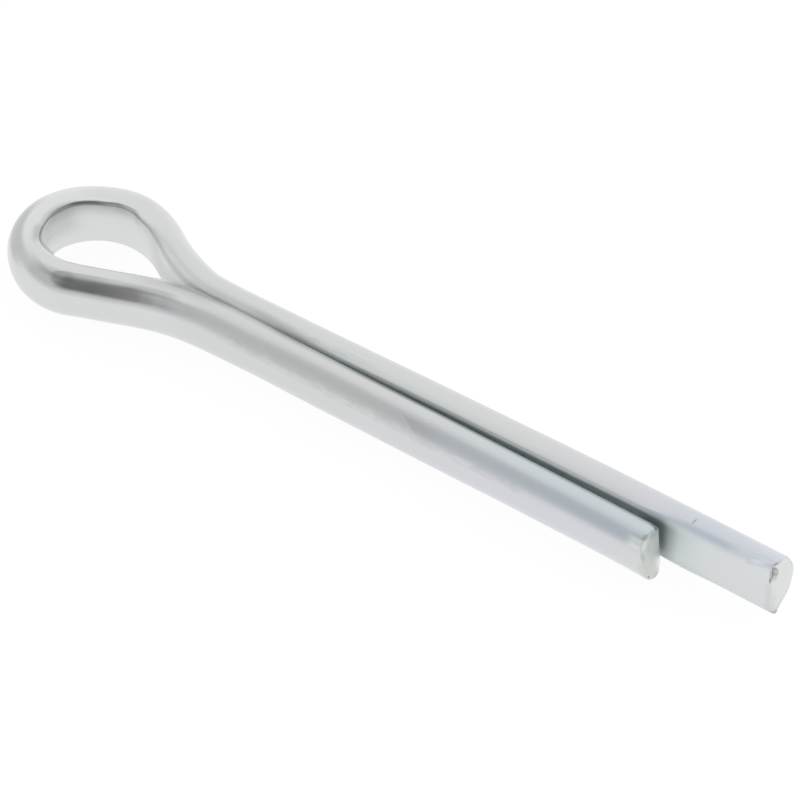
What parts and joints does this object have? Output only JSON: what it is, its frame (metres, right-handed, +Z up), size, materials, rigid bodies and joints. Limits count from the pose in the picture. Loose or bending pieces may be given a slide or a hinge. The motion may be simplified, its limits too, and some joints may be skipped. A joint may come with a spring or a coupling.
{
  "type": "cotter pin",
  "caption": "Split cotter pin of half-round zinc-plated steel wire, folded into a teardrop eye, with one leg longer than the other for spreading behind a drilled shaft.",
  "frame": {"origin": "centre of the pin's box, on the surface that the pin lies on", "axes": "+X along the legs towards their tips, +Y from the short leg towards the long leg, +Z up, square to the plane of the eye"},
  "size_m": [0.0844, 0.0152, 0.0072],
  "materials": {
    "zinc_steel": "bright zinc plate, satin, slightly bluish"
  },
  "bodies": {
    "root": {"cotter_pin": "zinc_steel"}
  },
  "joints": []
}
